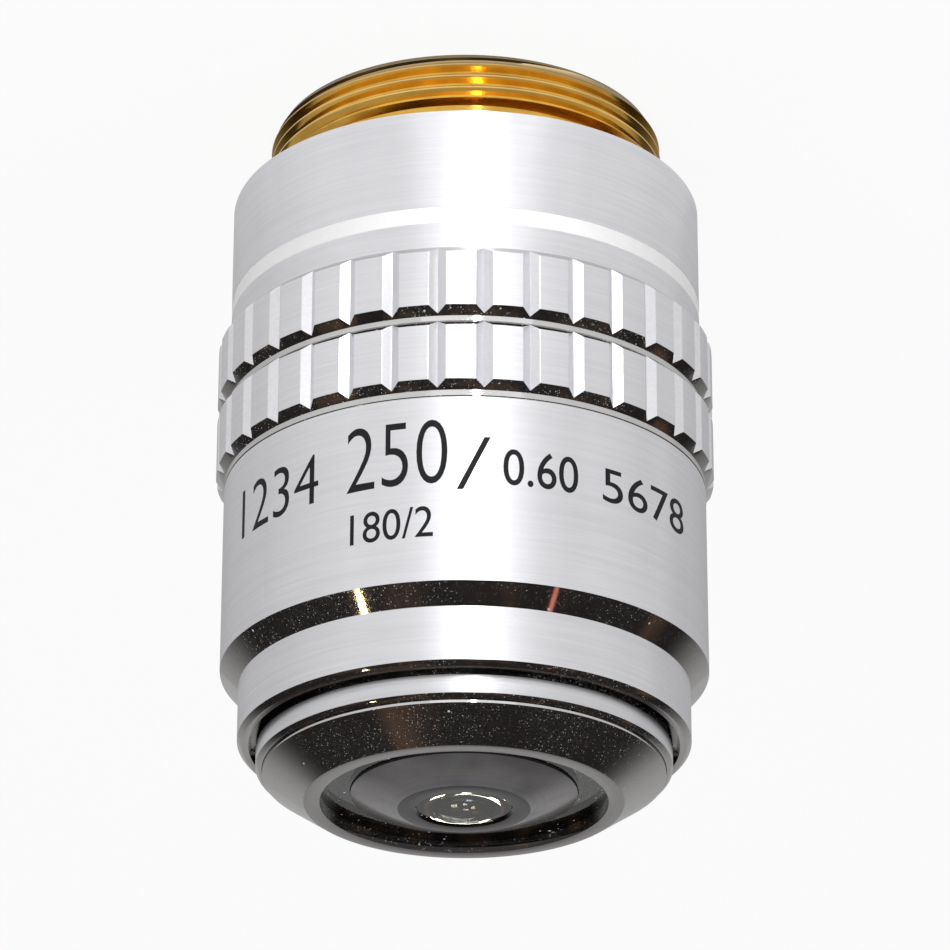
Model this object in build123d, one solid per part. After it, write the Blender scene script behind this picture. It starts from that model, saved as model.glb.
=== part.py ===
from build123d import *

import os
from math import radians, sqrt, tan

# Microscope objective with a spring-loaded nose, in millimetres.
# Z is the optical axis, rising from the rear end of the mounting thread to the nose.
# The objective stands on the rear end of its thread, where Z is zero.

# Clearances of the fits, and how far a cutter runs past what it cuts
slip = 0.03
running = 0.04
overshoot = 1.0

# Mounting thread and the flange that holds it in the rear barrel
thread_inset = 1.25
thread_reach = 5.85
thread_wall = 2.2
lead_in_depth = 0.55
lead_in_length = 0.9
relief_length = 2.1
relief_depth = 0.75
runout = 0.3
rear_bore_lip = 0.3
register_step = 0.1
flange_thickness = 1.0
mount_tube_length = 4.8

# Frame tube and the barrels that slip over it
frame_wall = 0.6
end_wall = 1.2
rear_barrel_wall = 1.22
rear_barrel_h = 10.3
band_from_shoulder = 7.18
band_h = 1.18
band_depth = 0.15
main_barrel_wall = 1.46
main_barrel_h = 14.2
edge_break = 0.12

# Grip ring with two fluted rows
grip_wall = 1.47
grip_rise = 0.55
grip_row_h = 3.88
grip_neck_h = 0.35
grip_foot_h = 0.39
flute_count = 34
flute_depth = 0.43
flute_half_angle = 53.0

# Collar that guides the nose
collar_step = 0.25
collar_h = 4.0
collar_chamfer = 0.33
collar_skirt = 3.2
collar_mouth_gap = 0.47
collar_mouth_depth = 1.6

# Sliding nose
travel = 1.5
stop_flange_step = 0.36
stop_flange_h = 3.0
nose_stand = 1.68
nose_wall = 0.8
nose_lip = 0.42
nose_chamfer = 0.25

# Nose cone and the darkfield ring inside it
cone_skirt = 2.88
cone_rim_h = 0.25
cone_h = 1.87
cone_run = 2.77
cone_wall = 0.72
face_width = 1.05
mouth_h = 0.8
ring_opening = 2.0
window_ledge = 0.72
window_h = 0.9
mirror_h = 4.9
mirror_boss_h = 0.4
mirror_front_wall = 0.6
mirror_rear_wall = 0.85
mirror_bulge = 0.35

# Front cell, whose straight wall sets the radii of all that lies round it
cell_nose_r = 7.48
cell_nose_drop = 0.65
cell_lip_r = 4.39
cell_lip_rise = 0.4
cell_tip_rise = 0.45
cell_step = 0.18
front_cell_h = 8.85
front_cell_wall = 1.94
front_cell_screw = 2.5
front_retainer_h = 1.0

# Front lens and the meniscus behind it
front_opening_r = 3.1
front_opening_lip = 0.15
front_lens_ledge = 0.2
front_lens_sag = 2.3
front_lens_edge = 0.12
front_lens_seat_h = 1.2
meniscus_depth = 3.2
meniscus_thickness = 2.0
meniscus_front_sag = -0.6
meniscus_rear_sag = 1.5

# Lens barrel and the rings stacked inside it
lens_barrel_wall = 1.1
lens_barrel_end = 0.5
cell_wall = 1.44
rear_cell_wall = 2.24
cell_margin = 0.5
seat_lip = 0.6
seat_h = 0.4
spacer_h = 3.8
stop_h = 0.5
stop_width = 3.67
rear_retainer_h = 1.5
spanner_slot_width = 1.0
spanner_slot_depth = 0.6

# Cemented lenses of cells a to d: thicknesses, and sags of the faces from the rear forwards
a_rear_sag = 0.1
a_flint_h = 1.1
a_flint_sag = -1.0
a_crown_h = 2.6
a_crown_sag = 0.6
b_rear_sag = 0.2
b_rear_h = 1.1
b_rear_front_sag = -1.0
b_middle_h = 3.1
b_middle_sag = 1.0
b_front_h = 1.2
b_front_sag = 0.3
c_rear_sag = -0.2
c_flint_h = 0.9
c_flint_sag = -0.8
c_crown_h = 1.9
c_crown_sag = 0.7
d_rear_sag = 0.4
d_crown_h = 1.6
d_crown_sag = 0.5
d_flint_h = 0.8
d_flint_sag = -0.3

# Spider that carries the lens barrel in the nose
spider_setback = 1.0
spider_h = 2.5
spider_arms = 3
spider_arm_w = 2.4
spider_rim = 0.8

# Spring, its seat and the pin that stops the nose turning
wire_r = 0.55
spring_turns = 5.5
spring_length = 10.0
spring_seat_h = 1.0
spring_seat_width = 1.15
pin_r = 0.4
pin_slot_depth = 0.7
pin_slot_clearance = 0.1

# Radii, from the front cell outwards to the frame tube
mouth_r = cell_nose_r + ring_opening
face_r = mouth_r + face_width
cone_base_r = face_r + cone_run
nose_r = cone_base_r + slip + nose_lip
nose_bore_r = nose_r - nose_wall
window_r = mouth_r + window_ledge
mirror_r = cone_base_r - cone_wall - slip
stop_flange_r = nose_r + stop_flange_step
pin_slot_r = stop_flange_r - pin_slot_depth
frame_bore_r = stop_flange_r + running
frame_r = frame_bore_r + frame_wall

# Radii of the mount and the barrels on the frame tube
thread_r = frame_r - thread_inset
relief_r = thread_r - relief_depth
register_r = thread_r - register_step
rear_bore_r = thread_r - thread_wall
barrel_bore_r = frame_r + slip
rear_barrel_r = barrel_bore_r + rear_barrel_wall
main_barrel_r = barrel_bore_r + main_barrel_wall
grip_root_r = barrel_bore_r + grip_wall
grip_r = grip_root_r + grip_rise
collar_r = frame_r + collar_step

# Radii of the lens barrel and the glass
lens_barrel_bore_r = cell_nose_r - cell_step
lens_barrel_r = lens_barrel_bore_r + lens_barrel_wall
stack_r = lens_barrel_bore_r - slip
meniscus_r = stack_r - front_cell_wall - slip
front_lens_r = front_opening_r + front_lens_ledge
lens_r = stack_r - cell_wall - slip
rear_lens_r = stack_r - rear_cell_wall - slip

# Heights of the joints between the pieces
grip_h = 2 * grip_row_h + 4 * grip_rise + grip_neck_h + grip_foot_h
shoulder_z = thread_reach
wall_z = shoulder_z + end_wall
frame_z = wall_z + flange_thickness
band_z = shoulder_z + band_from_shoulder
grip_z = shoulder_z + rear_barrel_h
main_z = grip_z + grip_h
collar_z = main_z + main_barrel_h
collar_end_z = collar_z + collar_h
nose_end_z = collar_end_z + nose_stand
cone_seat_z = nose_end_z - cone_skirt
face_z = nose_end_z + cone_rim_h + cone_h
stop_z = collar_z - collar_skirt
nose_rear_z = stop_z - stop_flange_h
spring_z = nose_rear_z - spring_length
pin_z = nose_rear_z + (stop_flange_h - travel) / 2
spider_z = nose_rear_z + spider_setback
window_z = face_z - mouth_h - window_h
mirror_seat_z = window_z - mirror_boss_h
mirror_z = mirror_seat_z - mirror_h
front_cell_z = face_z - cell_nose_drop - front_cell_h
front_cell_foot_z = front_cell_z + front_cell_screw
meniscus_z = front_cell_z + front_cell_h - meniscus_depth
tip_z = face_z + cell_tip_rise
front_lens_z = tip_z - front_opening_lip

# Glass of each cell: its radius, its rear sag, then each lens as a thickness and a front sag
cell_glass = {
    "a": (
        lens_r,
        a_rear_sag,
        {"flint": (a_flint_h, a_flint_sag), "crown": (a_crown_h, a_crown_sag)},
    ),
    "b": (
        lens_r,
        b_rear_sag,
        {
            "rear": (b_rear_h, b_rear_front_sag),
            "middle": (b_middle_h, b_middle_sag),
            "front": (b_front_h, b_front_sag),
        },
    ),
    "c": (
        lens_r,
        c_rear_sag,
        {"flint": (c_flint_h, c_flint_sag), "crown": (c_crown_h, c_crown_sag)},
    ),
    "d": (
        rear_lens_r,
        d_rear_sag,
        {"crown": (d_crown_h, d_crown_sag), "flint": (d_flint_h, d_flint_sag)},
    ),
}


def turned(*outline):
    """Solid of revolution about Z from a closed outline of (radius, height) points."""
    points = [(r, 0, z) for r, z in outline]
    return revolve(make_face(Polyline(*points, close=True)), Axis.Z)


def ring(outer, inner, z, height):
    """Plain ring standing on height z."""
    return turned((inner, z), (outer, z), (outer, z + height), (inner, z + height))


def slotted_ring(outer, inner, z, height):
    """Threaded retaining ring with two spanner slots in its rear face."""
    slot = Box(2 * (outer + overshoot), spanner_slot_width, spanner_slot_depth)
    return ring(outer, inner, z, height) - Pos(0, 0, z + spanner_slot_depth / 2) * slot


def sag_at(radius, edge_radius, edge_sag):
    """Depth at a radius of the sphere that is edge_sag deep at edge_radius."""
    if edge_sag == 0:
        return 0
    sphere = (edge_radius**2 + edge_sag**2) / (2 * edge_sag)
    return sphere - (1 if sphere > 0 else -1) * sqrt(sphere**2 - radius**2)


def lens(radius, rear_z, front_z, rear_sag, front_sag):
    """Lens between two vertices. A positive sag bulges out of the glass."""

    def surface(vertex_z, edge_z, sag):
        ends = (0, 0, vertex_z), (radius, 0, edge_z)
        if sag == 0:
            return Line(*ends)
        half = radius / 2
        middle = vertex_z + (edge_z - vertex_z) / sag * sag_at(half, radius, sag)
        return ThreePointArc(ends[0], (half, 0, middle), ends[1])

    rear_edge = rear_z + rear_sag
    front_edge = front_z - front_sag
    outline = [
        surface(rear_z, rear_edge, rear_sag),
        Line((radius, 0, rear_edge), (radius, 0, front_edge)),
        surface(front_z, front_edge, front_sag),
        Line((0, 0, front_z), (0, 0, rear_z)),
    ]
    return revolve(make_face(outline), Axis.Z)


def vertex_rise(radius, rear_sag):
    """Height of a lens's rear vertex above the lip that its rear face rests on."""
    return slip - min(rear_sag, sag_at(radius - seat_lip, radius, rear_sag))


def cell_height(radius, rear_sag, lenses):
    """Height of a cell whose rim stands a little in front of its glass."""
    glass_h = sum(thickness for thickness, _ in lenses.values())
    return seat_h + vertex_rise(radius, rear_sag) + glass_h + cell_margin


def lens_cell(z, height, glass_r):
    """Ring that holds its glass on a lip at its rear end."""
    bore = glass_r + slip
    lip = glass_r - seat_lip
    seat_z = z + seat_h
    top = z + height
    return turned((lip, z), (stack_r, z), (stack_r, top), (bore, top), (bore, seat_z), (lip, seat_z))


def mount_thread():
    """Brass mount: thread, relief groove, register, flange and inner tube."""
    bore = rear_bore_r
    tube_r = frame_bore_r - slip
    relief_z = shoulder_z - relief_length
    top = frame_z + mount_tube_length
    return turned(
        (bore + rear_bore_lip, 0),
        (thread_r - lead_in_depth, 0),
        (thread_r, lead_in_length),
        (thread_r, relief_z - runout),
        (relief_r, relief_z),
        (relief_r, shoulder_z),
        (register_r, shoulder_z),
        (register_r, wall_z),
        (frame_r, wall_z),
        (frame_r, frame_z),
        (tube_r, frame_z),
        (tube_r, top),
        (bore, top),
        (bore, rear_bore_lip),
    )


def rear_barrel():
    """Rear barrel: its end wall is the mounting shoulder, and a groove holds the band."""
    outer = rear_barrel_r
    hole = register_r + slip
    groove = outer - band_depth
    band_end = band_z + band_h
    return turned(
        (hole, shoulder_z),
        (outer - edge_break, shoulder_z),
        (outer, shoulder_z + edge_break),
        (outer, band_z),
        (groove, band_z),
        (groove, band_end),
        (outer, band_end),
        (outer, grip_z),
        (barrel_bore_r, grip_z),
        (barrel_bore_r, wall_z),
        (hole, wall_z),
    )


def colour_band():
    """White filler in the groove of the rear barrel."""
    return ring(rear_barrel_r, rear_barrel_r - band_depth, band_z, band_h)


def flute_cutter():
    """V prism that cuts one flute along both rows, on the +X side."""
    floor = grip_r - flute_depth
    reach = 2 * flute_depth
    half_width = reach * tan(radians(flute_half_angle))
    corners = (floor, 0), (floor + reach, half_width), (floor + reach, -half_width)
    return Pos(0, 0, grip_z) * extrude(make_face(Polyline(*corners, close=True)), grip_h)


def grip_ring():
    """Grip ring: two chamfered rows with a narrow neck between them, and flutes."""
    root = grip_root_r
    bore = barrel_bore_r
    row_rise = grip_row_h + grip_rise
    first = grip_z + grip_rise
    neck = first + row_rise
    second = neck + grip_neck_h + grip_rise
    blank = turned(
        (bore, grip_z),
        (root, grip_z),
        (grip_r, first),
        (grip_r, first + grip_row_h),
        (root, neck),
        (root, neck + grip_neck_h),
        (grip_r, second),
        (grip_r, second + grip_row_h),
        (root, second + row_rise),
        (root, main_z),
        (bore, main_z),
    )
    pitch = 360 / flute_count
    first_flute = -90 + pitch / 2
    cutters = [Rot(0, 0, first_flute + i * pitch) * flute_cutter() for i in range(flute_count)]
    return blank - cutters


def main_barrel():
    """Main barrel with a broad polished chamfer at the nose end."""
    chamfer = main_barrel_r - collar_r
    return turned(
        (barrel_bore_r, main_z),
        (main_barrel_r - edge_break, main_z),
        (main_barrel_r, main_z + edge_break),
        (main_barrel_r, collar_z - chamfer),
        (collar_r, collar_z),
        (barrel_bore_r, collar_z),
    )


def frame_tube():
    """Tube inside the barrels, with the hole for the guide pin."""
    tube = ring(frame_r, frame_bore_r, frame_z, collar_z - frame_z)
    hole = Cylinder(pin_r, 2 * (frame_wall + overshoot))
    return tube - Pos(0, frame_r, pin_z) * Rot(90, 0, 0) * hole


def collar():
    """Collar screwed into the frame tube. Its bore guides the nose."""
    bore = nose_r + running
    skirt_r = frame_bore_r - slip
    mouth = nose_r + collar_mouth_gap
    mouth_z = collar_end_z - collar_mouth_depth
    return turned(
        (bore, stop_z),
        (skirt_r, stop_z),
        (skirt_r, collar_z),
        (collar_r, collar_z),
        (collar_r, collar_end_z - collar_chamfer),
        (collar_r - collar_chamfer, collar_end_z),
        (mouth, collar_end_z),
        (mouth, mouth_z),
        (bore, mouth_z),
    )


def spring_seat():
    """Ring screwed into the frame tube that the spring rests on."""
    outer = frame_bore_r - slip
    inner = frame_bore_r - spring_seat_width
    return slotted_ring(outer, inner, spring_z - spring_seat_h, spring_seat_h)


def coil_spring():
    """Spring between its seat and the rear of the nose barrel."""
    rise = spring_length - 2 * (wire_r + slip)
    coil_r = frame_bore_r - running - wire_r
    start = Pos(0, 0, spring_z + wire_r + slip)
    path = start * Helix(rise / spring_turns, rise, coil_r)
    section = Plane(origin=path @ 0, z_dir=path % 0) * Circle(wire_r)
    return sweep(section, path, is_frenet=True)


def guide_pin():
    """Pin pressed into the frame tube, reaching into the slot of the nose barrel."""
    inner = pin_slot_r + pin_slot_clearance
    length = frame_r - inner
    return Pos(0, inner + length / 2, pin_z) * Rot(90, 0, 0) * Cylinder(pin_r, length)


def nose_barrel():
    """Sliding barrel with a stop flange at its rear and the seat of the cone in front."""
    seat_r = cone_base_r + slip
    body = turned(
        (nose_bore_r, nose_rear_z),
        (stop_flange_r, nose_rear_z),
        (stop_flange_r, stop_z),
        (nose_r, stop_z),
        (nose_r, nose_end_z - nose_chamfer),
        (nose_r - nose_chamfer, nose_end_z),
        (seat_r, nose_end_z),
        (seat_r, cone_seat_z),
        (nose_bore_r, cone_seat_z),
    )
    width = 2 * (pin_r + pin_slot_clearance)
    slot = Box(width, 2 * pin_slot_depth, 2 * stop_flange_h)
    return body - Pos(0, stop_flange_r, nose_rear_z) * slot


def nose_cone():
    """Cone with the flat front face and the mouth of the darkfield ring."""
    rim_z = nose_end_z + cone_rim_h
    mouth_z = face_z - mouth_h
    mirror_hole = mirror_r + slip
    window_hole = window_r + slip
    return turned(
        (mirror_hole, cone_seat_z),
        (cone_base_r, cone_seat_z),
        (cone_base_r, rim_z),
        (face_r, face_z),
        (mouth_r, face_z),
        (mouth_r, mouth_z),
        (window_hole, mouth_z),
        (window_hole, mirror_seat_z),
        (mirror_hole, mirror_seat_z),
    )


def darkfield_window():
    """Annular glass between the mouth of the cone and the front cell."""
    return ring(window_r, cell_nose_r + slip, window_z, window_h)


def darkfield_mirror():
    """Annular mirror that turns the ring of light inwards. Its inside is a hollow curve."""
    front_r = window_r - mirror_front_wall
    rear_r = mirror_r - mirror_rear_wall
    front = (front_r, 0, window_z)
    rear = (rear_r, 0, mirror_z)
    middle = ((front_r + rear_r) / 2 + mirror_bulge, 0, (window_z + mirror_z) / 2)
    outline = [
        ThreePointArc(rear, middle, front),
        Line(front, (window_r, 0, window_z)),
        Line((window_r, 0, window_z), (window_r, 0, mirror_seat_z)),
        Line((window_r, 0, mirror_seat_z), (mirror_r, 0, mirror_seat_z)),
        Line((mirror_r, 0, mirror_seat_z), (mirror_r, 0, mirror_z)),
        Line((mirror_r, 0, mirror_z), rear),
    ]
    return revolve(make_face(outline), Axis.Z)


def spider():
    """Ring of arms between the nose barrel and the lens barrel, open for the light."""
    outer = nose_bore_r - slip
    inner = lens_barrel_r + slip
    disc = ring(outer, inner, spider_z, spider_h)
    opening_h = spider_h + 2 * overshoot
    opening = ring(outer - spider_rim, inner + spider_rim, spider_z - overshoot, opening_h)
    arm = Pos(outer / 2, 0, spider_z + spider_h / 2) * Box(outer, spider_arm_w, spider_h)
    arms = [Rot(0, 0, i * 360 / spider_arms) * arm for i in range(spider_arms)]
    return disc - (opening - arms)


def front_cell():
    """Front cell: a screwed foot, a straight wall and a cone that carries the front lens."""
    glass_bore = front_lens_r + slip
    chamber_r = meniscus_r + slip
    return turned(
        (chamber_r, front_cell_z),
        (stack_r, front_cell_z),
        (stack_r, front_cell_foot_z),
        (cell_nose_r, front_cell_foot_z),
        (cell_nose_r, face_z - cell_nose_drop),
        (cell_lip_r, face_z + cell_lip_rise),
        (front_opening_r + front_opening_lip, tip_z),
        (front_opening_r, front_lens_z),
        (glass_bore, front_lens_z),
        (glass_bore, front_lens_z - front_lens_seat_h),
        (chamber_r, meniscus_z),
    )


def front_lens():
    """Front lens, flat towards the object and deeply curved behind."""
    front_z = front_lens_z - slip
    rear_z = front_z - front_lens_edge - front_lens_sag
    return lens(front_lens_r, rear_z, front_z, front_lens_sag, 0)


def meniscus_lens():
    """Meniscus behind the front lens, hollow towards it."""
    front_z = meniscus_z + meniscus_front_sag - slip
    rear_z = front_z - meniscus_thickness
    return lens(meniscus_r, rear_z, front_z, meniscus_rear_sag, meniscus_front_sag)


def front_retainer():
    """Screwed ring that holds the meniscus in the front cell."""
    inner = meniscus_r - seat_lip
    rear_z = meniscus_z + meniscus_front_sag - slip - meniscus_thickness
    top = rear_z + sag_at(inner, meniscus_r, meniscus_rear_sag) - slip
    return slotted_ring(meniscus_r, inner, top - front_retainer_h, front_retainer_h)


def stack_places():
    """Rear height and length of each ring in the lens barrel, from the front cell backwards."""
    lengths = {
        "cell_a": cell_height(*cell_glass["a"]),
        "cell_b": cell_height(*cell_glass["b"]),
        "spacer_tube": spacer_h,
        "cell_c": cell_height(*cell_glass["c"]),
        "aperture_stop": stop_h,
        "cell_d": cell_height(*cell_glass["d"]),
        "rear_retainer": rear_retainer_h,
    }
    places = {}
    z = front_cell_z
    for name, length in lengths.items():
        z -= length
        places[name] = z, length
    return places


def lens_barrel():
    """Tube round the stack, from the foot of the front cell to past the rear retainer."""
    stack_end_z, _ = stack_places()["rear_retainer"]
    rear_z = stack_end_z - lens_barrel_end
    return ring(lens_barrel_r, lens_barrel_bore_r, rear_z, front_cell_foot_z - rear_z)


def cell_with_glass(letter, z, height):
    """One cell and the lenses cemented together in it."""
    radius, rear_sag, lenses = cell_glass[letter]
    pieces = {f"cell_{letter}": lens_cell(z, height, radius)}
    rear_z = z + seat_h + vertex_rise(radius, rear_sag)
    for name, (thickness, front_sag) in lenses.items():
        front_z = rear_z + thickness
        pieces[f"lens_{letter}_{name}"] = lens(radius, rear_z, front_z, rear_sag, front_sag)
        rear_z = front_z
        rear_sag = -front_sag
    return pieces


def lens_stack():
    """Everything in the lens barrel behind the front cell."""
    places = stack_places()
    rear_opening_r = rear_lens_r - seat_lip
    pieces = {
        "spacer_tube": ring(stack_r, lens_r - seat_lip, *places["spacer_tube"]),
        "aperture_stop": ring(stack_r, stack_r - stop_width, *places["aperture_stop"]),
        "rear_retainer": slotted_ring(stack_r, rear_opening_r, *places["rear_retainer"]),
    }
    for letter in cell_glass:
        pieces.update(cell_with_glass(letter, *places[f"cell_{letter}"]))
    return pieces


def all_pieces():
    """Every sub-part by the name of its node."""
    makers = [
        mount_thread,
        rear_barrel,
        colour_band,
        grip_ring,
        main_barrel,
        frame_tube,
        collar,
        spring_seat,
        coil_spring,
        guide_pin,
        nose_barrel,
        nose_cone,
        darkfield_window,
        darkfield_mirror,
        spider,
        lens_barrel,
        front_cell,
        front_lens,
        meniscus_lens,
        front_retainer,
    ]
    pieces = {maker.__name__: maker() for maker in makers}
    pieces.update(lens_stack())
    return pieces


os.makedirs("parts", exist_ok=True)
for name, piece in all_pieces().items():
    export_step(piece, f"parts/{name}.step")
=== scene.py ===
"""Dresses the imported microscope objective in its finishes, and sets up its camera and studio."""

import logging
import math
from collections.abc import Callable, Sequence
from dataclasses import dataclass
from enum import Enum
from typing import NamedTuple

import bmesh
import bpy
from mathutils import Matrix, Vector


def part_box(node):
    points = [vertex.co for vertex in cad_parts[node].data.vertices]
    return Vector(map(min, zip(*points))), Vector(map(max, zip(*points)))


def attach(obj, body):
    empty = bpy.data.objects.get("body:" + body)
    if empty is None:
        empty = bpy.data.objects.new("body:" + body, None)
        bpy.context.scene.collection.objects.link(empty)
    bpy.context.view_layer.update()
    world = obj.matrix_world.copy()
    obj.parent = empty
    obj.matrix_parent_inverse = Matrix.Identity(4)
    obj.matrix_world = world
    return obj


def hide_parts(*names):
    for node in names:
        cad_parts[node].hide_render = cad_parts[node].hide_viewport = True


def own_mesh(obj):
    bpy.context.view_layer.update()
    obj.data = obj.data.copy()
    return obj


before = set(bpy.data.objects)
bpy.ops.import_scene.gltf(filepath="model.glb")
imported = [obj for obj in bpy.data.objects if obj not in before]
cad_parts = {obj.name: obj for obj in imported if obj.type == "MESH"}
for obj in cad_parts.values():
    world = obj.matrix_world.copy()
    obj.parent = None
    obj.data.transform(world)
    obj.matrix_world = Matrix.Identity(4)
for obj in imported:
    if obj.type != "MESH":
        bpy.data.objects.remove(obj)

LOG = logging.getLogger("objective")
MM = 0.001
FULL_TURN = 2 * math.pi
SAME_PLACE = 0.002
CUT_TOLERANCE = SAME_PLACE / 10
TURN_STEPS = 288
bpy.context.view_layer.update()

Colour = tuple[float, float, float]
Shape = bmesh.types.BMesh

WHITE: Colour = (1.0, 1.0, 1.0)
BLACK: Colour = (0.0, 0.0, 0.0)


class Body(Enum):
    """The bodies that the pieces ride on."""

    BARREL = "barrel"
    NOSE = "nose"


class Slot(Enum):
    """The record's material slots."""

    SATIN = "satin_chrome"
    POLISHED = "polished_chrome"
    BRASS = "gilt_brass"
    BAND = "band_white"
    BLACK = "black_anodised"
    GREY = "grey_anodised"
    MIRROR = "bright_mirror"
    STEEL = "spring_steel"
    GLASS = "optical_glass"


class Value:
    """One socket of a node graph. Python's operators on it add Math nodes."""

    def __init__(self, graph: "Graph", socket: bpy.types.NodeSocket) -> None:
        """Wraps an output socket of a graph."""
        self.graph = graph
        self.socket = socket

    def maths(self, operation: str, *others: "Value | float") -> "Value":
        """Adds a Math node whose first value is this socket.

        Args:
            operation: The Math node's operation.
            others: The node's further values.

        Returns:
            The node's result.
        """
        return self.graph.maths(operation, self, *others)

    def __add__(self, other: "Value | float") -> "Value":
        """Adds."""
        return self.maths("ADD", other)

    __radd__ = __add__

    def __mul__(self, other: "Value | float") -> "Value":
        """Multiplies."""
        return self.maths("MULTIPLY", other)

    __rmul__ = __mul__

    def __sub__(self, other: "Value | float") -> "Value":
        """Subtracts."""
        return self.maths("SUBTRACT", other)

    def __rsub__(self, other: float) -> "Value":
        """Subtracts this socket from a number."""
        return self.graph.maths("SUBTRACT", other, self)

    def __truediv__(self, other: "Value | float") -> "Value":
        """Divides."""
        return self.maths("DIVIDE", other)

    def __rtruediv__(self, other: float) -> "Value":
        """Divides a number by this socket."""
        return self.graph.maths("DIVIDE", other, self)

    def __lt__(self, other: "Value | float") -> "Value":
        """Gives 1 where this is less."""
        return self.maths("LESS_THAN", other)

    def __gt__(self, other: "Value | float") -> "Value":
        """Gives 1 where this is greater."""
        return self.maths("GREATER_THAN", other)

    def rise(self, low: float, high: float) -> "Value":
        """Rises smoothly from 0 at low to 1 at high.

        Args:
            low: Where the rise starts.
            high: Where it ends, which may be below low.

        Returns:
            A value from 0 to 1.
        """
        settings = {"interpolation_type": "SMOOTHSTEP"}
        if low > high:
            return 1.0 - self.graph.node("ShaderNodeMapRange", settings, {0: self, 1: high, 2: low})
        return self.graph.node("ShaderNodeMapRange", settings, {0: self, 1: low, 2: high})


class Graph:
    """The node tree of one material or of the world."""

    def __init__(self, tree: bpy.types.NodeTree) -> None:
        """Empties a node tree and keeps it."""
        self.tree = tree
        tree.nodes.clear()

    def node(
        self,
        kind: str,
        settings: dict[str, object] | None = None,
        sockets: dict[int | str, object] | None = None,
        output: int | str = 0,
    ) -> Value:
        """Adds any node.

        Args:
            kind: The node's type.
            settings: Its own settings, and stops, a ramp's (place, colour) pairs.
            sockets: Numbers, colours or links for its input sockets.
            output: The output socket that is wanted.

        Returns:
            That output socket.
        """
        made = self.tree.nodes.new(kind)
        for name, value in (settings or {}).items():
            if name == "stops":
                self._set_stops(made.color_ramp, value)
            else:
                setattr(made, name, value)
        for name, value in (sockets or {}).items():
            if isinstance(value, Value):
                self.tree.links.new(value.socket, made.inputs[name])
            else:
                is_colour = made.inputs[name].type == "RGBA"
                made.inputs[name].default_value = (*value, 1.0) if is_colour else value
        return Value(self, made.outputs[output] if made.outputs else None)

    @staticmethod
    def _set_stops(ramp: bpy.types.ColorRamp, stops: Sequence[tuple[float, Colour]]) -> None:
        """Gives a ramp its stops."""
        while len(ramp.elements) < len(stops):
            ramp.elements.new(1.0)
        for element, (place, colour) in zip(ramp.elements, stops):
            element.position = place
            element.color = (*colour, 1.0)

    def maths(self, operation: str, *values: Value | float) -> Value:
        """Adds a Math node.

        Args:
            operation: The Math node's operation.
            values: Its values in order.

        Returns:
            The node's result.
        """
        return self.node("ShaderNodeMath", {"operation": operation}, dict(enumerate(values)))

    def mix(self, share: Value | float, first: object, second: object, blend: str = "MIX") -> Value:
        """Mixes two colours.

        Args:
            share: How much of the second colour shows.
            first: The first colour.
            second: The second colour.
            blend: The Mix node's blend type.

        Returns:
            The mixed colour.
        """
        settings = {"data_type": "RGBA", "blend_type": blend}
        return self.node("ShaderNodeMix", settings, {0: share, 6: first, 7: second}, 2)

    def split(self, kind: str, vector: Value) -> list[Value]:
        """Splits a vector or a colour.

        Args:
            kind: The type of the node that splits it.
            vector: The vector or colour.

        Returns:
            Its parts.
        """
        first = self.node(kind, sockets={0: vector})
        return [Value(self, out) for out in first.socket.node.outputs]

    def place(self) -> Value:
        """Gives the Object coordinates."""
        return self.node("ShaderNodeTexCoord", output="Object")

    def axes(self) -> tuple[Value, Value, Value]:
        """Gives the Object coordinates x, y and z and no more."""
        return tuple(self.split("ShaderNodeSeparateXYZ", self.place()))

    def radius(self) -> Value:
        """Gives the distance from the Z axis."""
        x, y, _ = self.axes()
        return (x * x + y * y).maths("SQRT")

    def grain(self, *cycles: float, detail: float = 2.0) -> Value:
        """Noise on Object coordinates.

        Args:
            cycles: Cycles per metre along every axis, or one number each for x, y and z.
            detail: The noise's detail.

        Returns:
            A value around 0.5.
        """
        stretch = cycles if len(cycles) == 3 else cycles * 3
        settings = {"operation": "MULTIPLY"}
        spot = self.node("ShaderNodeVectorMath", settings, {0: self.place(), 1: stretch})
        return self.noise(spot, 1.0, detail)

    def noise(self, spot: Value, scale: float, detail: float = 2.0) -> Value:
        """Adds a Noise Texture at a place.

        Args:
            spot: The vector that the noise is read at.
            scale: The noise's scale.
            detail: The noise's detail.

        Returns:
            A value around 0.5.
        """
        sockets = {"Vector": spot, "Scale": scale, "Detail": detail}
        return self.node("ShaderNodeTexNoise", {}, sockets)

    def turned_lines(self, pitch: float, run: float, detail: float = 3.0) -> Value:
        """Fine lines round the Z axis, as a lathe leaves them on walls and on flat faces.

        Args:
            pitch: The distance from one line to the next, in metres.
            run: How far a line runs round before it fades, in metres.
            detail: The noise's detail.

        Returns:
            A value around 0.5.
        """
        x, y, z = self.axes()
        slow, fine = 1 / run, 1 / pitch
        spot = self.node("ShaderNodeCombineXYZ", sockets={0: x * slow, 1: y * slow, 2: z * fine})
        settings = {"noise_dimensions": "4D"}
        sockets = {"Vector": spot, "W": self.radius() * fine, "Scale": 1.0, "Detail": detail}
        return self.node("ShaderNodeTexNoise", settings, sockets)

    def specks(self, spacing: float, size: float, share: float) -> Value:
        """Dust: specks of uneven size, some of them missing.

        Args:
            spacing: The mean distance between specks, in metres.
            size: The largest speck's radius, as a share of the spacing.
            share: How many of the places hold a speck.

        Returns:
            1 on a speck and 0 elsewhere.
        """
        sockets = {"Vector": self.place(), "Scale": 1 / spacing}
        cells = self.node("ShaderNodeTexVoronoi", {}, sockets)
        colour = Value(self, cells.socket.node.outputs["Color"])
        chances = self.split("ShaderNodeSeparateColor", colour)
        return (cells < chances[0] * chances[0] * size) * (chances[1] < share)

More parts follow.
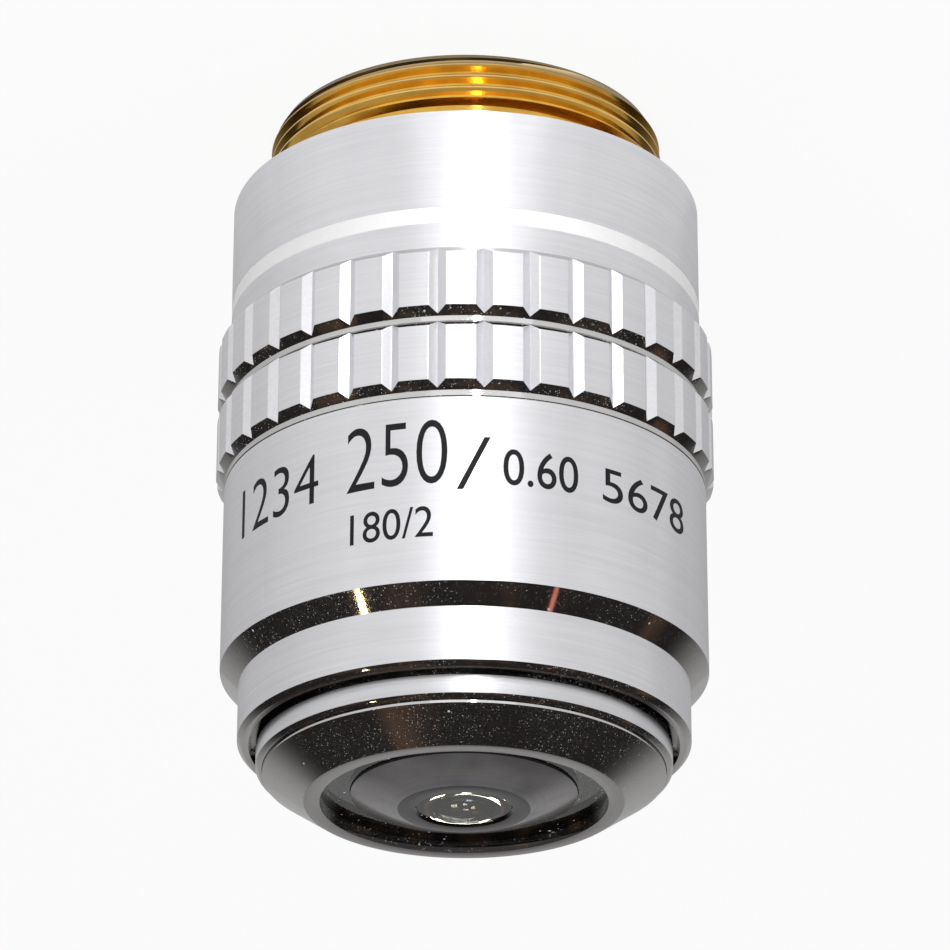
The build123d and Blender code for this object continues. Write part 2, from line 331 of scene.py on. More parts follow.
    def rays(self) -> tuple[Value, Value]:
        """Gives 1 on rays from the camera, and 1 on rays from gloss or through glass."""
        path = self.node("ShaderNodeLightPath").socket.node
        seen, glossy, through = (
            Value(self, path.outputs[name])
            for name in ("Is Camera Ray", "Is Glossy Ray", "Is Transmission Ray")
        )
        return seen, glossy.maths("MAXIMUM", through)

    def bump(self, height: Value, depth: float) -> Value:
        """Turns a height into a normal.

        Args:
            height: The height, from 0 to 1.
            depth: What a height of 1 stands for, in metres.

        Returns:
            The normal.
        """
        sockets = {"Height": height, "Distance": depth, "Strength": 1.0}
        return self.node("ShaderNodeBump", {}, sockets)

    def principled(self, sockets: dict[str, object]) -> Value:
        """Adds a Principled shader with these sockets."""
        return self.node("ShaderNodeBsdfPrincipled", {}, sockets)


@dataclass(frozen=True)
class Finish:
    """A finish, which makes its own material."""

    name: str = "finish"

    def material(self) -> bpy.types.Material:
        """Makes the material from what shader() gives."""
        made = bpy.data.materials.new(self.name)
        made.use_nodes = True
        graph = Graph(made.node_tree)
        graph.node("ShaderNodeOutputMaterial", {}, {"Surface": self.shader(graph)})
        return made

    def shader(self, graph: Graph) -> Value:
        """Gives the whole shader."""
        return graph.principled(self.surface(graph))

    def surface(self, graph: Graph) -> dict[str, object]:
        """Gives the sockets of the Principled shader."""
        raise NotImplementedError


@dataclass(frozen=True)
class SatinChrome(Finish):
    """Chromed metal with a fine satin turned round the axis."""

    name: str = "satin_chrome"
    colour: Colour = (0.83, 0.83, 0.857)
    dull_colour: Colour = (0.62, 0.62, 0.645)
    roughness: float = 0.30
    line_pitch: float = 0.035 * MM
    line_run: float = 3.0 * MM
    line_depth: float = 0.0006 * MM
    scratch_pitch: float = 0.16 * MM
    scratch_run: float = 9.0 * MM
    line_share: float = 0.30
    scratch_share: float = 0.16
    stain_share: float = 0.14
    line_gloss: float = 0.08
    scratch_gloss: float = 0.04
    stain_gloss: float = 0.02
    anisotropy: float = 0.45

    def surface(self, graph: Graph) -> dict[str, object]:
        """Fine lines and coarser scratches shift the colour, and broad stains dull it a little."""
        lines = graph.turned_lines(self.line_pitch, self.line_run)
        scratches = graph.turned_lines(self.scratch_pitch, self.scratch_run, 5.0).rise(0.35, 0.65)
        stains = graph.grain(180.0, 180.0, 60.0).rise(0.35, 0.75)
        dull = stains * self.stain_share + lines * self.line_share + scratches * self.scratch_share
        matt = lines * self.line_gloss + scratches * self.scratch_gloss + stains * self.stain_gloss
        return {
            "Base Color": graph.mix(dull, self.colour, self.dull_colour),
            "Metallic": 1.0,
            "Roughness": matt + (self.roughness - 0.06),
            "Anisotropic": self.anisotropy,
            "Anisotropic Rotation": 0.25,
            "Normal": graph.bump(lines, self.line_depth),
        }


@dataclass(frozen=True)
class PolishedChrome(Finish):
    """Polished chrome that mirrors the dark above it, with dust on it."""

    name: str = "polished_chrome"
    colour: Colour = (0.58, 0.575, 0.57)
    dust_colour: Colour = (0.55, 0.55, 0.56)
    roughness: float = 0.05
    line_pitch: float = 0.05 * MM
    line_run: float = 2.0 * MM
    dust_share: float = 0.55
    dust_roughness: float = 0.55
    small_spacing: float = 0.12 * MM
    small_size: float = 0.42
    small_strength: float = 0.5
    large_spacing: float = 0.80 * MM
    large_size: float = 0.12
    film_fineness: float = 9000.0
    film_strength: float = 0.05

    def surface(self, graph: Graph) -> dict[str, object]:
        """Large and small specks of dust on the polish, thicker in some places."""
        lines = graph.turned_lines(self.line_pitch, self.line_run)
        patches = graph.grain(160.0).rise(0.38, 0.58) * 0.8 + 0.2
        specks = graph.specks(self.small_spacing, self.small_size, self.dust_share)
        small = specks * patches * self.small_strength
        large = graph.specks(self.large_spacing, self.large_size, self.dust_share)
        veil = graph.grain(self.film_fineness, detail=1.0).rise(0.45, 0.7)
        film = veil * patches * self.film_strength
        dust = small.maths("MAXIMUM", large).maths("MAXIMUM", film)
        return {
            "Base Color": graph.mix(dust, self.colour, self.dust_colour),
            "Metallic": 1.0 - dust,
            "Roughness": dust * self.dust_roughness + lines * 0.03 + (self.roughness - 0.015),
        }


@dataclass(frozen=True)
class GiltBrass(Finish):
    """Bright turned brass. The end chamfer is painted pale as a painted highlight, and the crests
    are painted pale, partly as wear and partly as a painted highlight.
    """

    name: str = "gilt_brass"
    colour: Colour = (0.78, 0.46, 0.085)
    stain_colour: Colour = (0.52, 0.28, 0.05)
    # Painted highlight: this pale colour lights the end chamfer, and partly the crests, where it
    # also stands for wear.
    worn_and_highlight_colour: Colour = (0.90, 0.70, 0.40)
    crest_radius: float = 13.5 * MM
    crest_fade: tuple[float, float] = (0.05 * MM, 0.01 * MM)
    crest_wear_and_highlight: float = 0.35
    chamfer_top: float = 0.75 * MM
    chamfer_fade: float = 0.25 * MM
    chamfer_highlight: float = 0.9
    line_pitch: float = 0.06 * MM
    line_run: float = 2.5 * MM
    line_depth: float = 0.0012 * MM
    roughness: float = 0.08

    def surface(self, graph: Graph) -> dict[str, object]:
        """The end chamfer is painted pale as a painted highlight, the crests partly as wear and
        partly as a painted highlight, and stains darken the flanks.
        """
        height = graph.axes()[2]
        # Painted highlight: the end chamfer mask paints a highlight, and the crest mask paints wear
        # together with a highlight.
        crest = graph.radius().rise(*(self.crest_radius - fade for fade in self.crest_fade))
        end = height.rise(self.chamfer_top, self.chamfer_top - self.chamfer_fade)
        lines = graph.turned_lines(self.line_pitch, self.line_run)
        stains = graph.grain(350.0, 350.0, 900.0, detail=4.0).rise(0.35, 0.7)
        flank = graph.mix(stains * 0.6, self.colour, self.stain_colour)
        highlight_and_wear = (crest * self.crest_wear_and_highlight).maths("MAXIMUM", end * self.chamfer_highlight)
        return {
            "Base Color": graph.mix(highlight_and_wear, flank, self.worn_and_highlight_colour),
            "Metallic": 1.0,
            "Roughness": lines * 0.10 + stains * 0.05 + self.roughness,
            "Normal": graph.bump(lines, self.line_depth),
        }


@dataclass(frozen=True)
class Paint(Finish):
    """Filler or paint in one colour, with a faint unevenness."""

    name: str = "band_white"
    colour: Colour = (0.93, 0.93, 0.935)
    dark_colour: Colour = (0.88, 0.88, 0.885)
    roughness: float = 0.5
    gloss: float = 0.5
    fineness: float = 2500.0
    relief: float = 0.002 * MM

    def surface(self, graph: Graph) -> dict[str, object]:
        """A little mottle in the colour and the gloss."""
        mottle = graph.grain(self.fineness, detail=3.0)
        return {
            "Base Color": graph.mix(mottle, self.colour, self.dark_colour),
            "Roughness": mottle * 0.15 + (self.roughness - 0.07),
            "Specular IOR Level": self.gloss,
            "Normal": graph.bump(mottle, self.relief),
        }


@dataclass(frozen=True)
class Turned(Finish):
    """Turned metal with fine lines, in one of several colours and polishes."""

    name: str = "black_anodised"
    colour: Colour = (0.018, 0.018, 0.02)
    worn_and_highlight_colour: Colour = (0.035, 0.035, 0.038)
    metallic: float = 0.0
    roughness: float = 0.45
    line_pitch: float = 0.08 * MM
    line_run: float = 4.0 * MM
    line_depth: float = 0.001 * MM

    def surface(self, graph: Graph) -> dict[str, object]:
        """Turned lines that shift the colour and the roughness."""
        lines = graph.turned_lines(self.line_pitch, self.line_run)
        return {
            "Base Color": graph.mix(lines, self.colour, self.worn_and_highlight_colour),
            "Metallic": self.metallic,
            "Roughness": lines * 0.12 + (self.roughness - 0.06),
            "Normal": graph.bump(lines, self.line_depth),
        }


@dataclass(frozen=True)
class RingedCell(Finish):
    """Satin grey front cell with faint coloured rings round the lens."""

    name: str = "grey_anodised"
    inner_radius: float = 4.0 * MM
    outer_radius: float = 7.5 * MM
    rings: float = 5.0
    colour: Colour = (0.34, 0.34, 0.345)
    dark_colour: Colour = (0.20, 0.20, 0.208)
    warm: Colour = (1.0, 0.88, 0.74)
    green: Colour = (0.82, 1.0, 0.93)
    violet: Colour = (0.95, 0.84, 1.0)
    tint_share: float = 0.6
    roughness: float = 0.26

    def surface(self, graph: Graph) -> dict[str, object]:
        """Rings whose tint turns with the radius, closer together near the rim."""
        share = (graph.radius() - self.inner_radius) / (self.outer_radius - self.inner_radius)
        wave = (share * share * (FULL_TURN * self.rings)).maths("SINE")
        stops = [(0.0, self.warm), (0.5, self.green), (1.0, self.violet)]
        tint = graph.node("ShaderNodeValToRGB", {"stops": stops}, {0: wave * 0.5 + 0.5})
        stains = graph.grain(200.0).rise(0.35, 0.7)
        base = graph.mix(stains, self.colour, self.dark_colour)
        tinted = graph.mix(1.0, base, tint, "MULTIPLY")
        ring = wave.maths("ABSOLUTE").rise(0.75, 1.0)
        return {
            "Base Color": graph.mix(ring * self.tint_share, base, tinted),
            "Metallic": 0.55,
            "Roughness": stains * 0.08 + self.roughness,
            "Coat Weight": 0.35,
            "Coat Roughness": 0.08,
        }


@dataclass(frozen=True)
class DustyGlass(Finish):
    """Polished glass with dust on it."""

    name: str = "optical_glass"
    tint: Colour = (0.96, 0.985, 0.97)
    edge_tint: Colour = (0.90, 0.96, 0.93)
    dust_colour: Colour = (0.78, 0.82, 0.86)
    refraction: float = 1.6
    specular: float = 0.5
    spacing: float = 0.9 * MM
    size: float = 0.10
    share: float = 0.2
    small_spacing: float = 0.36 * MM
    small_size: float = 1.4
    small_share: float = 1.3

    def shader(self, graph: Graph) -> Value:
        """Specks of dust over clear glass, the small ones in proportion to the large."""
        haze = graph.grain(300.0)
        glass = graph.principled(
            {
                "Base Color": graph.mix(haze, self.tint, self.edge_tint),
                "Roughness": haze * 0.01,
                "IOR": self.refraction,
                "Specular IOR Level": self.specular,
                "Transmission Weight": 1.0,
            }
        )
        dust = graph.principled({"Base Color": self.dust_colour, "Roughness": 0.6})
        large = graph.specks(self.spacing, self.size, self.share)
        size, share = self.size * self.small_size, self.share * self.small_share
        specks = large.maths("MAXIMUM", graph.specks(self.small_spacing, size, share))
        return graph.node("ShaderNodeMixShader", {}, {0: specks, 1: glass, 2: dust})


SATIN_AND_POLISHED = SatinChrome(), PolishedChrome()


class Corner(NamedTuple):
    """One corner of a turned outline in millimetres, with the width of its edge break."""

    radius: float
    height: float
    edge_break: float = 0.0


def turned(outline: Sequence[Corner], steps: int = TURN_STEPS) -> Shape:
    """Spins a closed outline round the Z axis and breaks its edges.

    Args:
        outline: The corners in order. The first and the last join.
        steps: How many steps the turn has.

    Returns:
        The turned shape.
    """
    shape = bmesh.new()
    places = [shape.verts.new((corner.radius, 0.0, corner.height)) for corner in outline]
    for start, end in zip(places, places[1:] + places[:1]):
        if abs(start.co.x) + abs(end.co.x) > SAME_PLACE:
            shape.edges.new((start, end))
    spin(shape, FULL_TURN, steps, use_merge=True)
    close_up(shape)
    for corner in outline:
        if corner.edge_break:
            break_edges(shape, ring_edges(shape, corner), corner.edge_break)
    return shape


def spin(shape: Shape, angle: float, steps: int, rise: float = 0.0, **options: bool) -> None:
    """Spins all of a shape round the Z axis.

    Args:
        shape: The shape.
        angle: The angle in radians.
        steps: How many steps it has.
        rise: How far up each step goes.
        options: The operator's use_merge or use_duplicate.
    """
    bmesh.ops.spin(
        shape,
        geom=shape.verts[:] + shape.edges[:] + shape.faces[:],
        cent=(0.0, 0.0, 0.0),
        axis=(0.0, 0.0, 1.0),
        dvec=(0.0, 0.0, rise),
        angle=angle,
        steps=steps,
        **options,
    )


def close_up(shape: Shape) -> None:
    """Merges a shape's doubles and turns its faces outwards."""
    bmesh.ops.remove_doubles(shape, verts=shape.verts[:], dist=SAME_PLACE / 2)
    bmesh.ops.recalc_face_normals(shape, faces=shape.faces[:])


def cut(
    shape: Shape, place: Sequence[float], outwards: Sequence[float], clear: bool = True
) -> list[bmesh.types.BMEdge]:
    """Cuts a shape along a plane.

    Args:
        shape: The shape.
        place: A point of the plane.
        outwards: The plane's normal.
        clear: Whether what lies on the normal's side is taken away.

    Returns:
        The edges along the cut.
    """
    made = bmesh.ops.bisect_plane(
        shape,
        geom=shape.verts[:] + shape.edges[:] + shape.faces[:],
        dist=CUT_TOLERANCE,
        plane_co=place,
        plane_no=outwards,
        clear_outer=clear,
    )
    return [part for part in made["geom_cut"] if isinstance(part, bmesh.types.BMEdge)]


def ring_edges(shape: Shape, corner: Corner) -> list[bmesh.types.BMEdge]:
    """Finds the edges of the ring that a corner has become."""

    def on_ring(vertex: bmesh.types.BMVert) -> bool:
        """Says whether a vertex lies on the ring."""
        out = vertex.co.xy.length - corner.radius
        return abs(out) < SAME_PLACE and abs(vertex.co.z - corner.height) < SAME_PLACE

    return [edge for edge in shape.edges if on_ring(edge.verts[0]) and on_ring(edge.verts[1])]


def break_edges(shape: Shape, edges: Sequence[bmesh.types.BMEdge], width: float) -> None:
    """Bevels some edges by a width in two segments."""
    bmesh.ops.bevel(
        shape,
        geom=list(edges),
        offset=width,
        offset_type="OFFSET",
        segments=2,
        profile=0.5,
        affect="EDGES",
        material=-1,
        clamp_overlap=True,
    )


def paint(shape: Shape, slot: int, test: Callable[[bmesh.types.BMFace], bool]) -> None:
    """Gives a material slot to the faces that pass a test."""
    shape.normal_update()
    for face in shape.faces:
        if test(face):
            face.material_index = slot


def sloped(face: bmesh.types.BMFace) -> bool:
    """Says whether a face leans away from the upright, as a chamfer or an end face does."""
    return abs(face.normal.z) > 0.25


def put(name: str, data: bpy.types.ID) -> bpy.types.Object:
    """Puts a mesh, a text, a lamp or a camera into the scene."""
    made = bpy.data.objects.new(name, data)
    bpy.context.scene.collection.objects.link(made)
    return made


class Span(NamedTuple):
    """Where a CAD node reaches, in millimetres: its bottom, its top and its largest radius."""

    bottom: float
    top: float
    radius: float

    @classmethod
    def of(cls, node: str) -> "Span":
        """Measures a node of the frame."""
        low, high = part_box(node)
        return cls(low.z / MM, high.z / MM, max(high.x, high.y) / MM)


class Palette:
    """The materials of all finishes, each made once."""

    def __init__(self) -> None:
        """Starts empty."""
        self._made: dict[str, bpy.types.Material] = {}

    def __call__(self, finish: Finish) -> bpy.types.Material:
        """Gives the material of a finish."""
        if finish.name not in self._made:
            self._made[finish.name] = finish.material()
        return self._made[finish.name]


@dataclass
class SubAssembly:
    """Pieces that ride on one body."""

    palette: Palette
    body: Body = Body.BARREL
    smooth_angle: float = math.radians(24.0)
    hair_edge: float = 0.015
    fine_edge: float = 0.04
    fit: float = 0.03

    def build(self) -> None:
        """Builds and dresses every piece."""
        raise NotImplementedError

    def add(
        self, name: str, shape: Shape, slot: Slot, *finishes: Finish, replaces: str = ""
    ) -> bpy.types.Object:
        """Makes a shape in millimetres a piece of the object.

        Args:
            name: The piece's name.
            shape: Its shape, which is used up.
            slot: The record's material slot. It is not used.
            finishes: The finishes, in the order of the faces' material slots.
            replaces: The CAD node that it stands for.

        Returns:
            The piece.
        """
        bmesh.ops.scale(shape, vec=(MM, MM, MM), verts=shape.verts[:])
        mesh = bpy.data.meshes.new(name)
        shape.to_mesh(mesh)
        shape.free()
        mesh.shade_smooth()
        mesh.set_sharp_from_angle(angle=self.smooth_angle)
        for finish in finishes:
            mesh.materials.append(self.palette(finish))
        piece = put(name, mesh)
        piece.modifiers.new("even_normals", "WEIGHTED_NORMAL").keep_sharp = True
        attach(piece, self.body.value)
        if replaces:
            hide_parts(replaces)
        LOG.info("%s: %d faces, rides on %s", name, len(mesh.polygons), self.body.value)
        return piece

    def dress(self, finish: Finish, *names: str) -> None:
        """Gives CAD nodes that stay as they are a finish."""
        for name in names:
            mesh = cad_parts[name].data
            mesh.materials.clear()
            mesh.materials.append(self.palette(finish))
            LOG.info("%s: dressed in %s", name, finish.name)


@dataclass
class Mount(SubAssembly):
    """The brass mount with its helical thread."""

    crest_radius: float = 13.5
    pitch: float = 0.88
    crest_flat: float = 0.10
    root_flat: float = 0.14
    thread_depth: float = 0.46
    crest_phase: float = 0.27
    lead_in_depth: float = 0.55
    lead_in_length: float = 0.9
    relief_length: float = 2.1
    relief_depth: float = 0.75
    runout: float = 0.3
    register_step: float = 0.1
    end_wall: float = 1.2
    bore_radius: float = 11.3
    bore_lip: float = 0.3
    tube_radius: float = 14.12
    steps_per_turn: int = 180

    def build(self) -> None:
        """Cuts the helix to length, then closes the mount round it ring by ring."""
        node = Span.of("mount_thread")
        shoulder = Span.of("rear_barrel").bottom
        flange = Span.of("frame_tube").bottom
        relief = shoulder - self.relief_length
        relief_radius = self.crest_radius - self.relief_depth
        register_radius = self.crest_radius - self.register_step
        wall = shoulder + self.end_wall
        shape = self._helix(relief)
        rear, front = self._cut(shape, relief - self.runout)
        for radius, height in (
            (self.crest_radius - self.lead_in_depth, 0.0),
            (self.bore_radius + self.bore_lip, 0.0),
            (self.bore_radius, self.bore_lip),
            (self.bore_radius, node.top),
            (self.tube_radius, node.top),
            (self.tube_radius, flange),
            (node.radius, flange),
            (node.radius, wall),
            (register_radius, wall),
            (register_radius, shoulder),
            (relief_radius, shoulder),
            (relief_radius, relief),
        ):
            rear = self._extend(shape, rear, radius, height)
        bmesh.ops.bridge_loops(shape, edges=rear + front)
        close_up(shape)
        self.add("threaded_mount", shape, Slot.BRASS, GiltBrass(), replaces="mount_thread")

    def _helix(self, end: float) -> Shape:
        """Spins one pitch of the thread's outline up past both ends.

        Args:
            end: The height that the thread has to pass.

        Returns:
            The open threaded wall.
        """
        flank = (self.pitch - self.crest_flat - self.root_flat) / 2
        root = self.crest_radius - self.thread_depth
        middle = self.crest_radius - self.thread_depth / 2
        outline = [
            (self.crest_radius, 0.0),
            (self.crest_radius, self.crest_flat),
            (middle, self.crest_flat + flank / 2),
            (root, self.crest_flat + flank),
            (root, self.crest_flat + flank + self.root_flat),
            (middle, self.pitch - flank / 2),
            (self.crest_radius, self.pitch),
        ]
        below = 2 * self.pitch - self.crest_phase
        shape = bmesh.new()
        places = [shape.verts.new((radius, 0.0, height - below)) for radius, height in outline]
        for start, stop in zip(places, places[1:]):
            shape.edges.new((start, stop))
        turns = math.ceil(end / self.pitch) + 3
        steps = turns * self.steps_per_turn
        spin(shape, FULL_TURN * turns, steps, self.pitch / self.steps_per_turn)
        bmesh.ops.remove_doubles(shape, verts=shape.verts[:], dist=SAME_PLACE)
        return shape

    def _cut(self, shape: Shape, end: float) -> tuple[list, list]:
        """Cuts the thread off square at both ends, and turns the lead-in on its crests.

        Args:
            shape: The threaded wall.
            end: The height of the front cut.

        Returns:
            The edges of the rear cut and of the front cut.
        """
        slope = self.lead_in_depth / self.lead_in_length
        start = (self.lead_in_depth - self.thread_depth) / slope
        rear = cut(shape, (0.0, 0.0, start), (0.0, 0.0, -1.0))
        front = cut(shape, (0.0, 0.0, end), (0.0, 0.0, 1.0))
        for vertex in shape.verts:
            allowed = self.crest_radius - self.lead_in_depth + slope * vertex.co.z
            share = min(1.0, allowed / vertex.co.xy.length)
            vertex.co = (vertex.co.x * share, vertex.co.y * share, vertex.co.z)
        return rear, front

    @staticmethod
    def _extend(shape: Shape, ring: list, radius: float, height: float) -> list:
        """Extrudes a ring of edges to a circle.

        Args:
            shape: The shape that the ring belongs to.
            ring: The ring's edges.
            radius: The circle's radius.
            height: The circle's height.

        Returns:
            The new ring's edges.
        """
        made = bmesh.ops.extrude_edge_only(shape, edges=ring)["geom"]
        for part in made:
            if isinstance(part, bmesh.types.BMVert):
                share = radius / part.co.xy.length
                part.co = (part.co.x * share, part.co.y * share, height)
        return [part for part in made if isinstance(part, bmesh.types.BMEdge) and part.is_boundary]


@dataclass
class Barrels(SubAssembly):
    """The rear barrel with its band, the main barrel and the collar."""

    edge: float = 0.12
    bore_radius: float = 14.78
    register_radius: float = 13.43
    end_wall: float = 1.2
    groove_depth: float = 0.15
    collar_chamfer: float = 0.33
    collar_skirt_radius: float = 14.12
    collar_bore_radius: float = 13.79
    mouth_radius: float = 14.22
    mouth_depth: float = 1.6

    def build(self) -> None:
        """Turns the barrels from the shoulder to the nose."""
        self._rear_barrel()
        self._main_barrel()
        self._collar()

    def _rear_barrel(self) -> None:
        """The rear barrel, with white filler in its groove."""
        node = Span.of("rear_barrel")
        band = Span.of("colour_band")
        groove = node.radius - self.groove_depth
        wall = node.bottom + self.end_wall
        shape = turned(
            [
                Corner(self.register_radius, node.bottom),
                Corner(node.radius, node.bottom, self.edge),
                Corner(node.radius, band.bottom, self.hair_edge),
                Corner(groove, band.bottom),
                Corner(groove, band.top),
                Corner(node.radius, band.top, self.hair_edge),
                Corner(node.radius, node.top, self.fine_edge),
                Corner(self.bore_radius, node.top),
                Corner(self.bore_radius, wall),
                Corner(self.register_radius, wall),
            ]
        )
        self.add("shoulder_barrel", shape, Slot.SATIN, SatinChrome(), replaces="rear_barrel")
        face = node.radius - self.hair_edge
        filler = turned(
            [
                Corner(groove, band.bottom),
                Corner(face, band.bottom),
                Corner(face, band.top),
                Corner(groove, band.top),
            ]
        )
        self.add("band_filler", filler, Slot.BAND, Paint(), replaces="colour_band")

    def _main_barrel(self) -> None:
        """The main barrel, whose broad chamfer is polished."""
        node = Span.of("main_barrel")
        collar = Span.of("collar")
        chamfer = node.radius - collar.radius
        shape = turned(
            [
                Corner(self.bore_radius, node.bottom),
                Corner(node.radius, node.bottom, self.edge),
                Corner(node.radius, node.top - chamfer, self.hair_edge),
                Corner(collar.radius, node.top),
                Corner(self.bore_radius, node.top),
            ]
        )
        paint(shape, 1, sloped)
        self.add(
            "engraved_barrel", shape, Slot.SATIN, *SATIN_AND_POLISHED, replaces="main_barrel"
        )

    def _collar(self) -> None:
        """The collar, whose polished mouth stands clear of the nose."""
        node = Span.of("collar")
        shoulder = Span.of("main_barrel").top
        mouth_floor = node.top - self.mouth_depth
        shape = turned(
            [
                Corner(self.collar_bore_radius, node.bottom),
                Corner(self.collar_skirt_radius, node.bottom),
                Corner(self.collar_skirt_radius, shoulder),
                Corner(node.radius, shoulder),
                Corner(node.radius, node.top - self.collar_chamfer, self.hair_edge),
                Corner(node.radius - self.collar_chamfer, node.top, self.hair_edge),
                Corner(self.mouth_radius, node.top, self.fine_edge),
                Corner(self.mouth_radius, mouth_floor),
                Corner(self.collar_bore_radius, mouth_floor),
            ]
        )
        inside = node.radius - self.fine_edge
        paint(shape, 1, lambda face: sloped(face) or face.calc_center_median().xy.length < inside)
        self.add("nose_collar", shape, Slot.SATIN, *SATIN_AND_POLISHED, replaces="collar")


@dataclass
class Grip(SubAssembly):
    """The grip ring with two fluted rows."""

    flutes: int = 34
    flute_depth: float = 0.43
    flute_half_angle: float = math.radians(53.0)
    rise: float = 0.55
    row_height: float = 3.88
    neck_height: float = 0.35
    bore_radius: float = 14.78
    edge: float = 0.03
    crease_angle: float = 0.3
    steps_per_land: int = 10

    def build(self) -> None:
        """Cuts one land between two flutes, then sets it round the ring."""
        node = Span.of("grip_ring")
        pitch = FULL_TURN / self.flutes
        floor = node.radius - self.flute_depth
        shape = self._land(node, pitch)
        for side in (-1.0, 1.0):
            self._cut_flank(shape, floor, side * pitch / 2, side)
        spin(shape, FULL_TURN - pitch, self.flutes - 1, use_duplicate=True)
        to_front = Matrix.Rotation(-math.pi / 2, 3, "Z")
        bmesh.ops.rotate(shape, verts=shape.verts[:], matrix=to_front)
        close_up(shape)
        rows = node.radius - self.rise + SAME_PLACE
        creases = [
            edge
            for edge in shape.edges
            if len(edge.link_faces) == 2
            and edge.calc_face_angle_signed() > self.crease_angle
            and min(vertex.co.xy.length for vertex in edge.verts) > rows
        ]
        break_edges(shape, creases, self.edge)
        paint(shape, 1, lambda face: sloped(face) or face.calc_center_median().xy.length < rows)
        self.add("fluted_grip", shape, Slot.SATIN, *SATIN_AND_POLISHED, replaces="grip_ring")

    def _land(self, node: Span, pitch: float) -> Shape:
        """Spins the ring's outline from the middle of one flute to the middle of the next.

        Args:
            node: The CAD node's reach.
            pitch: The angle from one flute to the next.

        Returns:
            The land, not yet cut.
        """
        root = node.radius - self.rise
        outline = [(self.bore_radius, node.bottom)]
        height = node.bottom
        for gap in (0.0, self.neck_height):
            height += gap
            outline += [
                (root, height),
                (node.radius, height + self.rise),
                (node.radius, height + self.rise + self.row_height),
                (root, height + 2 * self.rise + self.row_height),
            ]
            height += 2 * self.rise + self.row_height
        outline += [(root, node.top), (self.bore_radius, node.top)]
        shape = bmesh.new()
        start = Matrix.Rotation(-pitch / 2, 3, "Z")
        places = [
            shape.verts.new(start @ Vector((radius, 0.0, height))) for radius, height in outline
        ]
        for first, second in zip(places, places[1:] + places[:1]):
            shape.edges.new((first, second))
        spin(shape, pitch, self.steps_per_land)
        bmesh.ops.remove_doubles(shape, verts=shape.verts[:], dist=SAME_PLACE / 2)
        return shape

    def _cut_flank(self, shape: Shape, floor: float, angle: float, side: float) -> None:
        """Cuts one flank of a flute and closes the cut of each row.

        Args:
            shape: The land.
            floor: The radius of the flute's floor.
            angle: The flute's angle.
            side: 1 for the flute at the land's left, -1 for the one at its right.
        """
        out = Vector((math.cos(angle), math.sin(angle), 0.0))
        along = Vector((-out.y, out.x, 0.0)) * side
        lean = self.flute_half_angle
        edges = cut(shape, out * floor, out * math.sin(lean) + along * math.cos(lean))
        heights = [vertex.co.z for edge in edges for vertex in edge.verts]
        middle = (min(heights) + max(heights)) / 2
        for upper in (False, True):
            row = [edge for edge in edges if (edge.verts[0].co.z > middle) == upper]
            met = [vertex for edge in row for vertex in edge.verts]
            ends = [vertex for vertex in met if met.count(vertex) == 1]
            row.append(shape.edges.new(ends))
            bmesh.ops.edgeloop_fill(shape, edges=row)


class Group(NamedTuple):
    """One group of engraved figures."""

    text: str
    left: float
    right: float
    height: float
    base: float
    thinning: float


